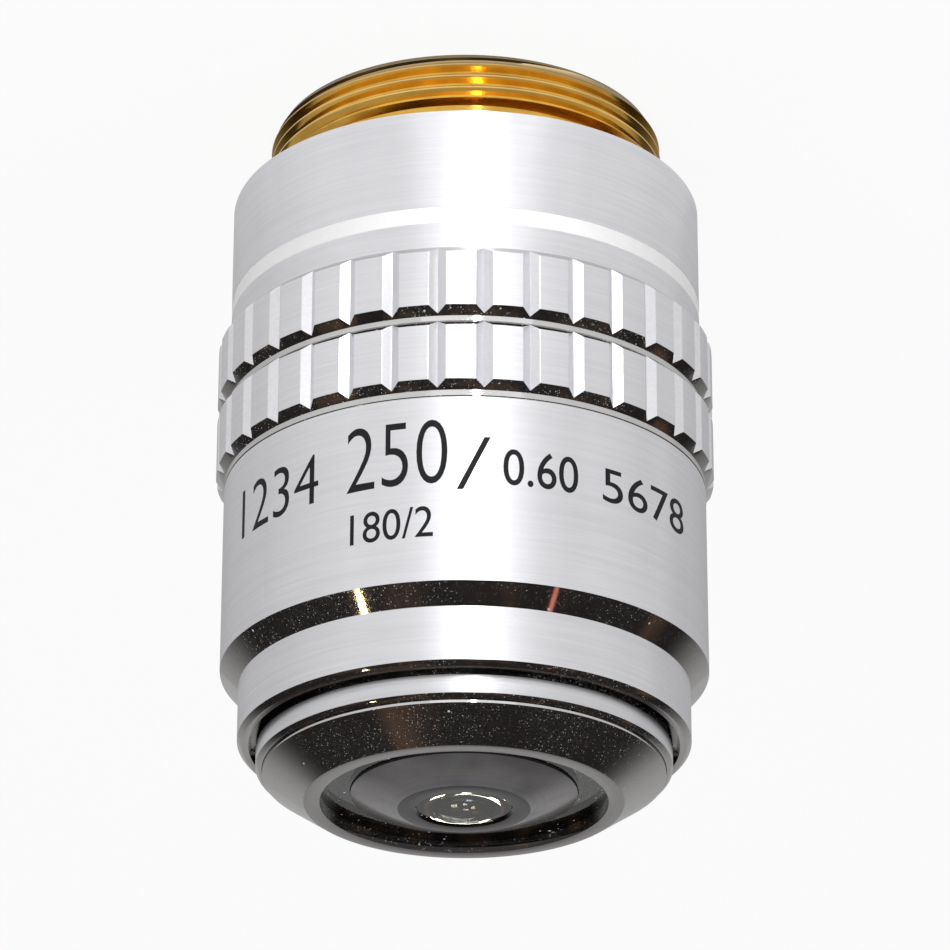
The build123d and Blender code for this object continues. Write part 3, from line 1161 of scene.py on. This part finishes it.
@dataclass
class Figures(SubAssembly):
    """The engraved figures of the main barrel, filled with black."""

    groups: tuple[Group, ...] = (
        Group("1234", -18.2, -10.1, 3.5, 33.1, -0.008),
        Group("250", -7.9, -1.1, 4.5, 33.05, -0.010),
        Group("/", -0.5, 1.7, 3.7, 33.5, -0.012),
        Group("0.60", 2.5, 7.6, 2.55, 33.1, 0.004),
        Group("5678", 9.45, 17.6, 2.4, 33.1, 0.0),
        Group("180/2", -7.6, -2.0, 2.15, 36.75, 0.0),
    )
    centre: float = math.radians(-0.9)
    proud: float = 0.005
    sunk: float = 0.03
    slice_width: float = 0.4
    slab_depth: float = 0.5
    curve_steps: int = 6

    def build(self) -> None:
        """Cuts each group out of plain figures, bends it round the barrel and joins them all."""
        radius = Span.of("main_barrel").radius
        shape = bmesh.new()
        for group in self.groups:
            flat = self._flat(group)
            self._slice(flat, group)
            self._bend(flat, group, radius)
            mesh = bpy.data.meshes.new("figures")
            flat.to_mesh(mesh)
            flat.free()
            shape.from_mesh(mesh)
            bpy.data.meshes.remove(mesh)
        close_up(shape)
        ink, worn_ink = (0.010, 0.010, 0.011), (0.018, 0.018, 0.019)
        filler = Paint("figure_filler", ink, worn_ink, 0.5, 0.12)
        self.add("engraved_figures", shape, Slot.BLACK, filler)

    def _flat(self, group: Group) -> Shape:
        """Makes the flat figures as a closed slab."""
        curve = bpy.data.curves.new("figures", "FONT")
        curve.body = group.text
        curve.offset = group.thinning
        curve.extrude = self.slab_depth
        curve.resolution_u = self.curve_steps
        text = put("figures", curve)
        bpy.context.view_layer.update()
        mesh = bpy.data.meshes.new_from_object(text)
        flat = bmesh.new()
        flat.from_mesh(mesh)
        bpy.data.objects.remove(text)
        bpy.data.curves.remove(curve)
        bpy.data.meshes.remove(mesh)
        close_up(flat)
        return flat

    def _slice(self, flat: Shape, group: Group) -> None:
        """Scales the slab to its place in millimetres and cuts it upright into slices."""
        lows = [min(vertex.co[axis] for vertex in flat.verts) for axis in range(3)]
        highs = [max(vertex.co[axis] for vertex in flat.verts) for axis in range(3)]
        wanted = (group.right - group.left, group.height, self.proud + self.sunk)
        share = [size / (high - low) for size, low, high in zip(wanted, lows, highs)]
        bmesh.ops.translate(flat, verts=flat.verts[:], vec=[-low for low in lows])
        bmesh.ops.scale(flat, verts=flat.verts[:], vec=share)
        count = math.ceil(wanted[0] / self.slice_width)
        for index in range(1, count):
            cut(flat, (wanted[0] * index / count, 0.0, 0.0), (1.0, 0.0, 0.0), clear=False)
        bmesh.ops.triangulate(flat, faces=flat.faces[:])

    def _bend(self, flat: Shape, group: Group, radius: float) -> None:
        """Lays the slab round the barrel, upright for a nose that points down."""
        for vertex in flat.verts:
            right, up, depth = vertex.co
            angle = self.centre - (group.left + right) / radius
            reach = radius - self.sunk + depth
            vertex.co = (reach * math.sin(angle), -reach * math.cos(angle), group.base - up)


@dataclass
class Nose(SubAssembly):
    """The sliding nose: its barrel, cone and darkfield ring."""

    body: Body = Body.NOSE
    stop_flange_height: float = 3.0
    barrel_radius: float = 13.75
    barrel_bore: float = 12.95
    barrel_chamfer: float = 0.25
    satin_start: float = 0.19
    cone_radius: float = 13.3
    cone_height: float = 1.87
    face_radius: float = 10.53
    mouth_radius: float = 9.48
    mouth_height: float = 0.8
    cell_radius: float = 7.48
    mirror_boss: float = 0.4
    mirror_front_wall: float = 0.6
    mirror_rear_wall: float = 0.85
    mirror_bulge: float = 0.35
    mirror_curve_steps: int = 12
    mirror_turn_steps: int = 192

    def build(self) -> None:
        """Turns the pieces from the outside inwards."""
        self._barrel()
        self._cone()
        self._darkfield_ring()

    def _barrel(self) -> None:
        """The nose barrel with its stop flange."""
        node = Span.of("nose_barrel")
        cone = Span.of("nose_cone")
        stop = node.bottom + self.stop_flange_height
        satin = Span.of("collar").top + self.satin_start
        seat = self.cone_radius + self.fit
        shape = turned(
            [
                Corner(self.barrel_bore, node.bottom),
                Corner(node.radius, node.bottom),
                Corner(node.radius, stop),
                Corner(self.barrel_radius, stop),
                Corner(self.barrel_radius, satin),
                Corner(self.barrel_radius, node.top - self.barrel_chamfer, self.hair_edge),
                Corner(self.barrel_radius - self.barrel_chamfer, node.top, self.hair_edge),
                Corner(seat, node.top),
                Corner(seat, cone.bottom),
                Corner(self.barrel_bore, cone.bottom),
            ]
        )
        paint(shape, 1, lambda face: sloped(face) or face.calc_center_median().z < satin)
        self.add("nose_sleeve", shape, Slot.SATIN, *SATIN_AND_POLISHED, replaces="nose_barrel")

    def _cone(self) -> None:
        """The polished cone with its flat grey face."""
        node = Span.of("nose_cone")
        window = Span.of("darkfield_window")
        mirror = Span.of("darkfield_mirror")
        rim = node.top - self.cone_height
        mouth = node.top - self.mouth_height
        ledge = window.bottom - self.mirror_boss
        shape = turned(
            [
                Corner(mirror.radius + self.fit, node.bottom),
                Corner(self.cone_radius, node.bottom),
                Corner(self.cone_radius, rim, self.hair_edge),
                Corner(self.face_radius, node.top, self.fine_edge),
                Corner(self.mouth_radius, node.top, self.fine_edge),
                Corner(self.mouth_radius, mouth),
                Corner(window.radius + self.fit, mouth),
                Corner(window.radius + self.fit, ledge),
                Corner(mirror.radius + self.fit, ledge),
            ]
        )
        front = node.top - self.fine_edge
        paint(shape, 1, lambda face: face.calc_center_median().z > front and face.normal.z > 0.9)
        flat = Turned("cone_face", (0.62, 0.61, 0.61), (0.50, 0.495, 0.495), 0.85, 0.34)
        polished = PolishedChrome()
        self.add("cone_shell", shape, Slot.POLISHED, polished, flat, replaces="nose_cone")

    def _darkfield_ring(self) -> None:
        """The annular glass in the mouth and the hollow mirror behind it."""
        window = Span.of("darkfield_window")
        mirror = Span.of("darkfield_mirror")
        inner = self.cell_radius + self.fit
        shape = turned(
            [
                Corner(inner, window.bottom),
                Corner(window.radius, window.bottom, self.hair_edge),
                Corner(window.radius, window.top, self.hair_edge),
                Corner(inner, window.top, self.hair_edge),
            ]
        )
        glass = DustyGlass(
            "window_glass", refraction=1.5, spacing=0.8 * MM, size=0.14, share=0.45
        )
        self.add("darkfield_glass", shape, Slot.GLASS, glass, replaces="darkfield_window")
        seat = window.bottom - self.mirror_boss
        front = Corner(window.radius - self.mirror_front_wall, window.bottom)
        rear = Corner(mirror.radius - self.mirror_rear_wall, mirror.bottom)
        shape = turned(
            [
                *self._hollow(rear, front),
                Corner(window.radius, window.bottom),
                Corner(window.radius, seat),
                Corner(mirror.radius, seat),
                Corner(mirror.radius, mirror.bottom),
            ],
            self.mirror_turn_steps,
        )
        bright = Turned("bright_mirror", (0.30, 0.31, 0.32), (0.22, 0.23, 0.24), 1.0, 0.10)
        self.add("hollow_mirror", shape, Slot.MIRROR, bright, replaces="darkfield_mirror")

    def _hollow(self, rear: Corner, front: Corner) -> list[Corner]:
        """Corners along the mirror's hollow curve, which bulges from the line between its ends.

        Args:
            rear: The curve's rear end.
            front: The curve's front end.

        Returns:
            The corners in order.
        """
        curve = []
        for step in range(self.mirror_curve_steps + 1):
            share = step / self.mirror_curve_steps
            bulge = 4 * self.mirror_bulge * share * (1 - share)
            radius = rear.radius + (front.radius - rear.radius) * share + bulge
            curve.append(Corner(radius, rear.height + (front.height - rear.height) * share))
        return curve


@dataclass
class FrontCell(SubAssembly):
    """The front cell in the mouth with the small front lens."""

    body: Body = Body.NOSE
    foot_height: float = 2.5
    foot_radius: float = 7.27
    cell_radius: float = 7.48
    nose_drop: float = 0.65
    lip_radius: float = 4.39
    lip_rise: float = 0.4
    opening_radius: float = 3.1
    opening_lip: float = 0.15
    lens_sag: float = 2.3
    lens_curve_corners: int = 16
    lens_turn_steps: int = 128
    lens_seat: float = 1.2
    chamber_radius: float = 5.33
    chamber_drop: float = 3.2

    def build(self) -> None:
        """Turns the cell and its lens."""
        node = Span.of("front_cell")
        lens = Span.of("front_lens")
        face = Span.of("nose_cone").top
        rim = face - self.nose_drop
        seat = lens.top + self.fit
        shape = turned(
            [
                Corner(self.chamber_radius, node.bottom),
                Corner(self.foot_radius, node.bottom),
                Corner(self.foot_radius, node.bottom + self.foot_height),
                Corner(self.cell_radius, node.bottom + self.foot_height),
                Corner(self.cell_radius, rim, self.hair_edge),
                Corner(self.lip_radius, face + self.lip_rise, self.hair_edge),
                Corner(self.opening_radius + self.opening_lip, node.top, self.hair_edge),
                Corner(self.opening_radius, seat),
                Corner(lens.radius + self.fit, seat),
                Corner(lens.radius + self.fit, seat - self.lens_seat),
                Corner(self.chamber_radius, rim - self.chamber_drop),
            ]
        )
        inner = self.lip_radius - self.hair_edge
        grey_from = rim - self.hair_edge
        paint(shape, 1, lambda part: part.calc_center_median().z < grey_from)
        paint(shape, 2, lambda part: part.calc_center_median().xy.length < inner)
        bright = Turned("cell_lip", (0.16, 0.16, 0.165), (0.10, 0.10, 0.105), 1.0, 0.14)
        finishes = RingedCell(), Turned(), bright
        self.add("front_cell_cone", shape, Slot.GREY, *finishes, replaces="front_cell")
        front = [Corner(lens.radius, lens.top), Corner(0.0, lens.top)]
        shape = turned(self._lens_rear(lens) + front, self.lens_turn_steps)
        glass = DustyGlass("lens_glass", refraction=1.75, specular=0.12, share=0.05)
        self.add("front_lens_glass", shape, Slot.GLASS, glass, replaces="front_lens")

    def _lens_rear(self, lens: Span) -> list[Corner]:
        """Corners along the front lens's domed rear surface, from the axis to its edge."""
        sphere = (lens.radius**2 + self.lens_sag**2) / (2 * self.lens_sag)
        half_angle = math.asin(lens.radius / sphere)
        last = self.lens_curve_corners - 1
        angles = [half_angle * index / last for index in range(self.lens_curve_corners)]
        return [
            Corner(sphere * math.sin(angle), lens.bottom + sphere * (1 - math.cos(angle)))
            for angle in angles
        ]


@dataclass
class Inside(SubAssembly):
    """The pieces inside, which keep their CAD shapes."""

    black_nodes: tuple[str, ...] = (
        "frame_tube",
        "spider",
        "lens_barrel",
        "front_retainer",
        "cell_a",
        "cell_b",
        "cell_c",
        "cell_d",
        "spacer_tube",
        "aperture_stop",
        "rear_retainer",
    )
    steel_nodes: tuple[str, ...] = ("spring_seat", "guide_pin")
    steel: Finish = Turned("spring_steel", (0.50, 0.50, 0.49), (0.40, 0.40, 0.39), 1.0, 0.28)
    wire_radius: float = 0.55
    wire_sides: int = 14
    coil_radius: float = 13.56
    spring_gap: float = 0.03
    spring_turns: float = 5.5
    spring_steps_per_turn: int = 48
    travel: float = 1.5

    def build(self) -> None:
        """Winds the spring and dresses the other pieces."""
        self._spring()
        self.dress(Turned(), *self.black_nodes)
        self.dress(self.steel, *self.steel_nodes)
        optics = [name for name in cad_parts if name.startswith(("lens_", "meniscus"))]
        lenses = [name for name in optics if name not in self.black_nodes]
        self.dress(DustyGlass(share=0.05), *lenses)

    def _spring(self) -> None:
        """The coil spring, wound up from its seat to the nose barrel."""
        seat = Span.of("spring_seat").top
        length = Span.of("nose_barrel").bottom - seat
        rise = length - 2 * (self.wire_radius + self.spring_gap)
        shape = bmesh.new()
        bmesh.ops.create_circle(
            shape, cap_ends=False, radius=self.wire_radius, segments=self.wire_sides
        )
        upright = Matrix.Rotation(math.pi / 2, 3, "X")
        bmesh.ops.rotate(shape, verts=shape.verts[:], matrix=upright)
        start = (self.coil_radius, 0.0, seat + self.wire_radius + self.spring_gap)
        bmesh.ops.translate(shape, verts=shape.verts[:], vec=start)
        steps = round(self.spring_turns * self.spring_steps_per_turn)
        spin(shape, FULL_TURN * self.spring_turns, steps, rise / steps)
        rims = [edge for edge in shape.edges if edge.is_boundary]
        bmesh.ops.holes_fill(shape, edges=rims, sides=0)
        close_up(shape)
        piece = self.add("nose_spring", shape, Slot.STEEL, self.steel, replaces="coil_spring")
        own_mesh(piece)


class Lamp(NamedTuple):
    """A square lamp: the way to it, its side in millimetres, its radiance and its colour."""

    name: str
    direction: tuple[float, float, float]
    size: float
    radiance: float
    colour: Colour = WHITE


@dataclass
class Studio:
    """The white floor, the lamps, the surroundings and the camera."""

    eye: tuple[float, float, float] = (-0.673, -307.77, 163.97)
    look_down: float = math.radians(24.272)
    roll: float = -0.0020454
    turn: float = math.radians(-0.9)
    focal_pixels: float = 4995.1
    image_width: float = 950.0
    sensor_width: float = 36.0
    floor_size: float = 6000.0
    paper: Colour = (0.88, 0.88, 0.88)
    paper_shade: Colour = (0.84, 0.84, 0.84)
    streak_turn: float = math.radians(4.8)
    streak_half_width: float = math.radians(1.2)
    streak_radiance: float = 20.0
    streak_reach: tuple[float, float] = (20.0, 400.0)
    streak_growth: float = 1.5
    streak_height: float = 0.5
    sheen_half_width: float = math.radians(22.0)
    sheen_radiance: float = 0.28
    white_share: float = 0.92
    glow_turn: float = math.radians(-4.0)
    glow_range: tuple[float, float] = (0.46, 1.0)
    glow_unevenness: float = 0.35
    glow_bands: float = 2.2
    shadow_start: float = 11.0
    shadow_end: float = 17.0
    ambient: float = 0.45
    room_patches: float = 2.6
    room_dark: Colour = (0.022, 0.019, 0.018)
    room_brown: Colour = (0.10, 0.060, 0.038)
    room_wall: Colour = (0.44, 0.435, 0.43)
    lamp_aim: float = 30.0
    soft_distance: float = 600.0
    lamp_distance: float = 500.0
    soft_lamps: tuple[Lamp, ...] = (
        Lamp("soft_box", (0.40, -0.80, 0.50), 260.0, 5.2),
        Lamp("soft_fill", (-0.75, -0.60, 0.35), 260.0, 3.4),
    )
    room_lamps: tuple[Lamp, ...] = (
        Lamp("warm_lamp", (0.52, -0.20, 0.82), 14.0, 45.0, (1.0, 0.78, 0.36)),
        Lamp("red_lamp", (-0.47, -0.25, 0.85), 12.0, 1.0, (1.0, 0.30, 0.20)),
    )
    glint_lamps: tuple[Lamp, ...] = (
        Lamp("glint", (0.05, 0.10, 0.99), 110.0, 9.0, (1.0, 0.97, 0.88)),
        Lamp("glint", (-0.62, -0.10, 0.78), 230.0, 9.0, (1.0, 0.86, 0.56)),
        Lamp("glint", (0.60, -0.35, 0.72), 170.0, 9.0, (1.0, 0.84, 0.50)),
        Lamp("glint", (0.10, -0.75, 0.66), 180.0, 8.0, (1.0, 0.95, 0.82)),
        Lamp("glint", (0.30, 0.72, 0.62), 150.0, 7.0, (0.82, 0.90, 1.0)),
    )

    def build(self) -> None:
        """Sets everything up round the object."""
        self._camera()
        self._floor()
        self._world()
        self._streak("streak", self.streak_half_width, self.streak_radiance)
        self._streak("sheen", self.sheen_half_width, self.sheen_radiance)
        for lamp in self.soft_lamps:
            soft = self._hang(lamp, self.soft_distance)
            soft.visible_glossy = False
            soft.visible_transmission = False
        for lamp in self.room_lamps:
            self._hang(lamp, self.lamp_distance)
        self._lens_glints()

    def _camera(self) -> None:
        """Places the camera upside down, as the photo was turned."""
        right = Vector((1.0, 0.0, 0.0))
        look = Vector((0.0, math.cos(self.look_down), -math.sin(self.look_down)))
        up = right.cross(look)
        turned_right = -(right * math.cos(self.roll) - up * math.sin(self.roll))
        turned_up = -(right * math.sin(self.roll) + up * math.cos(self.roll))
        axes = Matrix((turned_right, turned_up, -look)).transposed().to_4x4()
        lens = bpy.data.cameras.new("photo_camera")
        lens.sensor_width = self.sensor_width
        lens.lens = self.focal_pixels / self.image_width * lens.sensor_width
        lens.clip_start = 1.0 * MM
        lens.clip_end = 100.0
        camera = put("photo_camera", lens)
        place = Matrix.Translation(Vector(self.eye) * MM)
        camera.matrix_world = Matrix.Rotation(self.turn, 4, "Z") @ place @ axes
        bpy.context.scene.camera = camera

    def _floor(self) -> None:
        """A white floor that keeps the shadow, and that glossy pieces mirror as pale."""
        shape = bmesh.new()
        bmesh.ops.create_grid(shape, x_segments=1, y_segments=1, size=self.floor_size / 2 * MM)
        mesh = bpy.data.meshes.new("floor")
        shape.to_mesh(mesh)
        shape.free()
        floor = put("floor", mesh)
        paper = bpy.data.materials.new("white_paper")
        paper.use_nodes = True
        graph = Graph(paper.node_tree)
        paper_colour = graph.mix(graph.grain(40.0), self.paper, self.paper_shade)
        matt = graph.principled({"Base Color": paper_colour, "Roughness": 0.9})
        seen, mirrored = graph.rays()
        pale = graph.mix(self._floor_glow(graph), BLACK, WHITE)
        glow_colour = graph.mix(mirrored, WHITE, pale)
        glow = graph.node("ShaderNodeEmission", {}, {"Color": glow_colour})
        share = (seen * self.white_share).maths("MAXIMUM", mirrored)
        shader = graph.node("ShaderNodeMixShader", {}, {0: share, 1: matt, 2: glow})
        graph.node("ShaderNodeOutputMaterial", {}, {"Surface": shader})
        mesh.materials.append(paper)

    def _floor_glow(self, graph: Graph) -> Value:
        """How bright the floor mirrors: most in front, less behind, dark under the object."""
        x, y, _ = graph.axes()
        radius = graph.radius()
        azimuth = self.turn - self.glow_turn
        ahead = (x * math.sin(azimuth) - y * math.cos(azimuth)) / radius
        sides = {0: x / radius * self.glow_bands, 1: y / radius * self.glow_bands}
        uneven = graph.noise(graph.node("ShaderNodeCombineXYZ", sockets=sides), 1.0)
        low, high = self.glow_range
        even = ahead * ((high - low) / 2) + (high + low) / 2
        level = even + (uneven - 0.5) * self.glow_unevenness
        return level * radius.rise(self.shadow_start * MM, self.shadow_end * MM)

    def _world(self) -> None:
        """White to the camera. Glossy pieces mirror a dark room with a grey wall behind."""
        world = bpy.data.worlds.new("studio")
        world.use_nodes = True
        bpy.context.scene.world = world
        graph = Graph(world.node_tree)
        direction = graph.node("ShaderNodeTexCoord", output="Generated")
        _, back, height = graph.split("ShaderNodeSeparateXYZ", direction)
        patches = graph.noise(direction, self.room_patches).rise(0.48, 0.72)
        room = graph.mix(patches, self.room_dark, self.room_brown)
        wall = back.rise(0.5, 0.97) * height.rise(0.75, 0.30)
        room_light, ambient, white = (
            graph.node("ShaderNodeBackground", {}, {"Color": colour, "Strength": strength})
            for colour, strength in (
                (graph.mix(wall, room, self.room_wall), 1.0),
                (WHITE, self.ambient),
                (WHITE, 1.0),
            )
        )
        seen, mirrored = graph.rays()
        light = graph.node("ShaderNodeMixShader", {}, {0: mirrored, 1: ambient, 2: room_light})
        shader = graph.node("ShaderNodeMixShader", {}, {0: seen, 1: light, 2: white})
        graph.node("ShaderNodeOutputWorld", {}, {"Surface": shader})

    def _streak(self, name: str, half_width: float, radiance: float) -> None:
        """Lays strips of light on the floor in front of the object, as wide as a wedge there.

        Args:
            name: The lamps' name.
            half_width: Half the wedge's angle, seen from the object's axis.
            radiance: How bright the strips are, where 1 is white.
        """
        azimuth = self.turn - self.streak_turn
        towards = Vector((math.sin(azimuth), -math.cos(azimuth), 0.0))
        facing_up = Matrix.Rotation(azimuth, 4, "Z") @ Matrix.Rotation(math.pi, 4, "X")
        near, last = self.streak_reach
        while near < last:
            far = near * self.streak_growth
            middle = (near + far) / 2
            width = 2 * middle * math.tan(half_width)
            place = towards * middle + Vector((0.0, 0.0, self.streak_height))
            strip = self._area_lamp(name, (width, far - near), radiance, WHITE, place, facing_up)
            strip.visible_camera = False
            near = far

    def _lens_glints(self) -> None:
        """Lamps overhead that only the front lens mirrors."""
        lens = bpy.data.collections.new("glint_receivers")
        lens.objects.link(bpy.data.objects["front_lens_glass"])
        for lamp in self.glint_lamps:
            glint = self._hang(lamp, self.lamp_distance)
            glint.light_linking.receiver_collection = lens
            glint.visible_camera = False

    def _hang(self, lamp: Lamp, distance: float) -> bpy.types.Object:
        """Hangs a lamp so far from the middle of the object, and turns it there."""
        way = Vector(lamp.direction).normalized()
        aim = way.to_track_quat("Z", "Y").to_matrix().to_4x4()
        place = Vector((0.0, 0.0, self.lamp_aim)) + way * distance
        size = lamp.size, lamp.size
        return self._area_lamp(lamp.name, size, lamp.radiance, lamp.colour, place, aim)

    @staticmethod
    def _area_lamp(
        name: str,
        size: tuple[float, float],
        radiance: float,
        colour: Colour,
        place: Vector,
        aim: Matrix,
    ) -> bpy.types.Object:
        """Adds a lamp with a rectangular face.

        Args:
            name: The lamp's name.
            size: The face's width and length, in millimetres.
            radiance: How bright the face is, where 1 is white.
            colour: Its colour.
            place: Where it is, in millimetres.
            aim: The turn that points it.

        Returns:
            The lamp.
        """
        data = bpy.data.lights.new(name, "AREA")
        data.shape = "RECTANGLE"
        data.size, data.size_y = (side * MM for side in size)
        data.energy = radiance * math.pi * data.size * data.size_y
        data.color = colour
        lamp = put(name, data)
        lamp.matrix_world = Matrix.Translation(place * MM) @ aim
        return lamp


def main() -> None:
    """Builds every sub-assembly and the studio."""
    logging.basicConfig(level=logging.INFO, format="%(message)s")
    bpy.context.scene.view_settings.view_transform = "Standard"
    palette = Palette()
    for kind in (Mount, Barrels, Grip, Figures, Nose, FrontCell, Inside):
        kind(palette).build()
    Studio().build()


if __name__ == "__main__":
    main()
